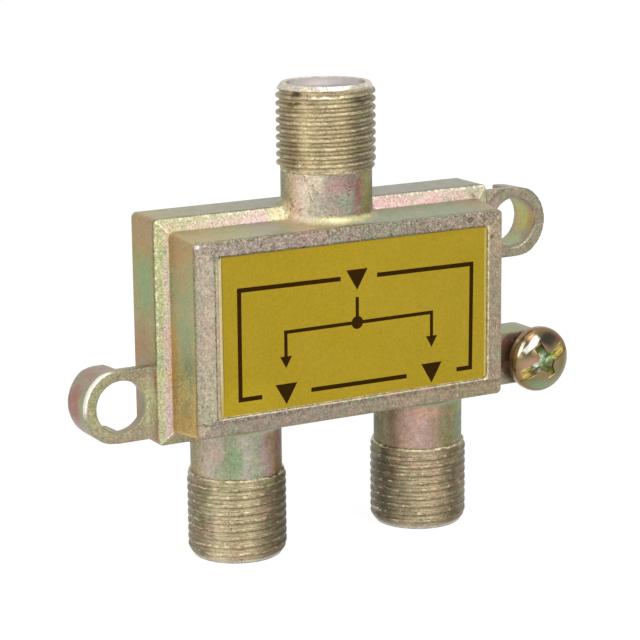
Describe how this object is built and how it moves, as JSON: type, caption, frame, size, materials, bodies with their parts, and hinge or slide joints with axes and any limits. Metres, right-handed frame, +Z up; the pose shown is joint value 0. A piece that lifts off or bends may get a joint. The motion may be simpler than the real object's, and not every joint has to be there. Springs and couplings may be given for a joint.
{
  "type": "tv splitter",
  "caption": "Die-cast coaxial splitter with a threaded input port on top, threaded output ports below, diagonal screw ears, a ground screw lug and a recessed foil label.",
  "frame": {"origin": "centre of the flat back, which lies against the wall", "axes": "+Y out of the back into the wall, so the label faces -Y; +Z up along the input port; +X to the right of someone who reads the label"},
  "size_m": [0.0527, 0.0101, 0.0442],
  "materials": {
    "chromated_casting": "yellow chromate on a grainy zinc casting, with green and pink tints",
    "tinned_steel": "dull tin plate",
    "label_foil": "satin gold foil with dark print",
    "chromated_steel": "bright yellow chromate",
    "white_insulator": "natural white",
    "contact_bronze": "bright",
    "board_laminate": "paper laminate",
    "ferrite": "sintered grey",
    "enamelled_wire": "enamelled copper",
    "resistor_coating": "lacquer",
    "capacitor_coating": "dipped coating",
    "solder": "bright solder"
  },
  "bodies": {
    "root": {"housing": "chromated_casting", "back_cover": "tinned_steel", "label": "label_foil", "ground_screw": "chromated_steel", "in_insulator": "white_insulator", "in_contact": "contact_bronze", "out_left_insulator": "white_insulator", "out_left_contact": "contact_bronze", "out_right_insulator": "white_insulator", "out_right_contact": "contact_bronze", "circuit_board": "board_laminate", "matching_core": "ferrite", "matching_winding": "enamelled_wire", "splitting_core": "ferrite", "splitting_winding": "enamelled_wire", "isolation_resistor": "resistor_coating", "input_capacitor": "capacitor_coating", "balance_capacitor": "capacitor_coating", "solder_joints": "solder"}
  },
  "joints": []
}
